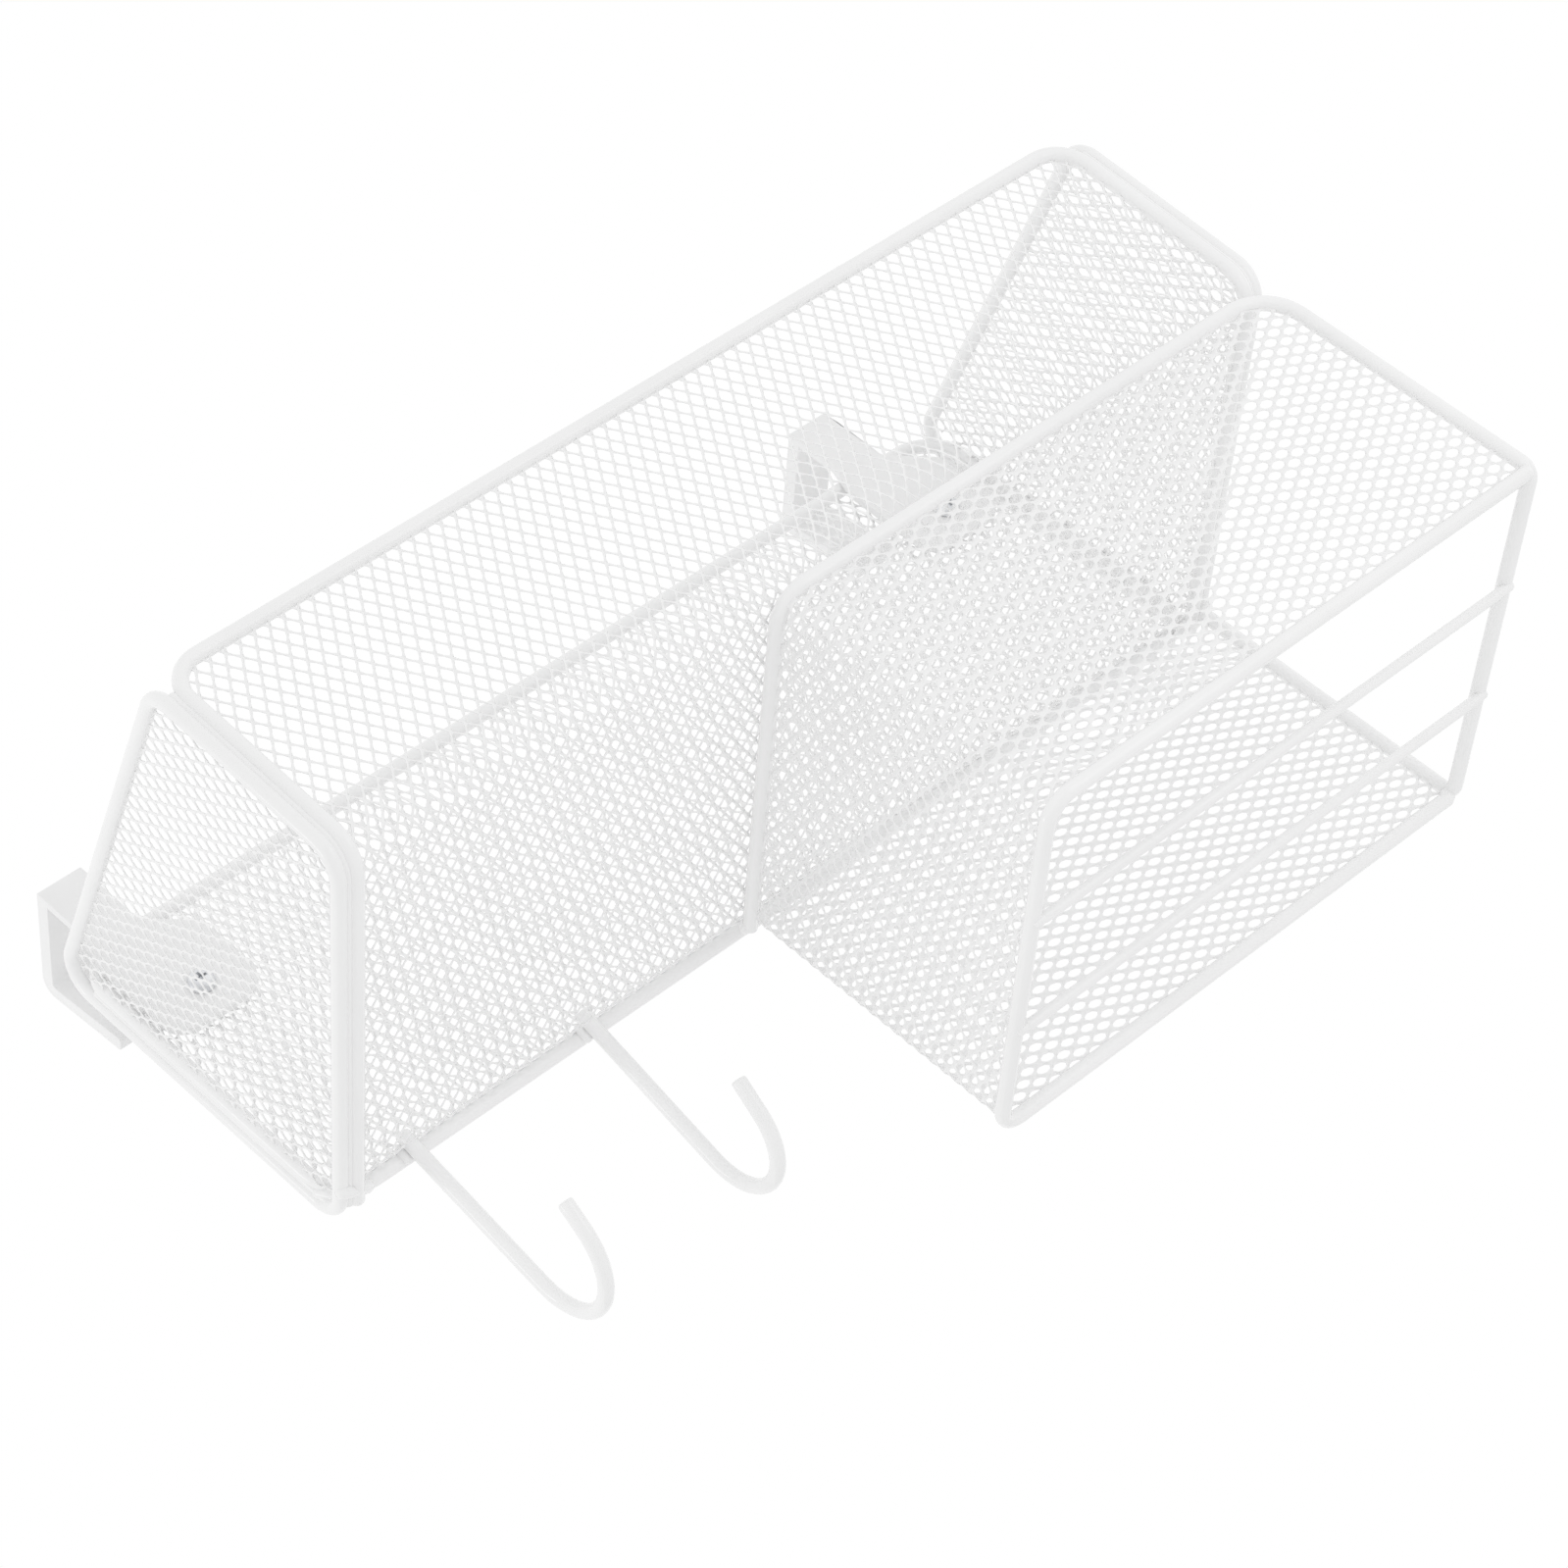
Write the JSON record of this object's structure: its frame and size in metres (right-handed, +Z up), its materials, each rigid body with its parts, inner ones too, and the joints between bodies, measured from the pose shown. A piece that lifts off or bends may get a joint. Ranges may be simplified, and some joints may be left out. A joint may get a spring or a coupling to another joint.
{
  "type": "hanging metal basket",
  "caption": "Long wire and expanded-mesh basket that hangs over a rail, with a lower mesh box open at its right end and towel hooks below.",
  "frame": {"origin": "on top of the rail, midway between the two brackets, where the undersides of their webs rest", "axes": "+X along the rail towards the open end of the lower box, +Y towards the wall behind the rail, +Z up"},
  "size_m": [0.3445, 0.1787, 0.2427],
  "materials": {
    "painted_steel": "white powder coat, semi-gloss",
    "bracket_plastic": "white moulded, satin",
    "zinc_plated_steel": "zinc plated"
  },
  "bodies": {
    "root": {"left_side_frame": "painted_steel", "right_side_frame": "painted_steel", "front_frame_wire": "painted_steel", "back_frame": "painted_steel", "left_side_mesh": "painted_steel", "right_side_mesh": "painted_steel", "front_bottom_mesh": "painted_steel", "back_mesh": "painted_steel", "lower_box_rim_wire": "painted_steel", "lower_box_end_wire": "painted_steel", "lower_box_mesh": "painted_steel", "lower_box_front_bar": "painted_steel", "lower_box_rear_bar": "painted_steel", "left_hook": "painted_steel", "right_hook": "painted_steel", "left_bracket": "bracket_plastic", "right_bracket": "bracket_plastic", "left_bracket_screw": "zinc_plated_steel", "right_bracket_screw": "zinc_plated_steel", "left_bracket_washer": "zinc_plated_steel", "right_bracket_washer": "zinc_plated_steel", "left_bracket_nut": "zinc_plated_steel", "right_bracket_nut": "zinc_plated_steel"}
  },
  "joints": []
}
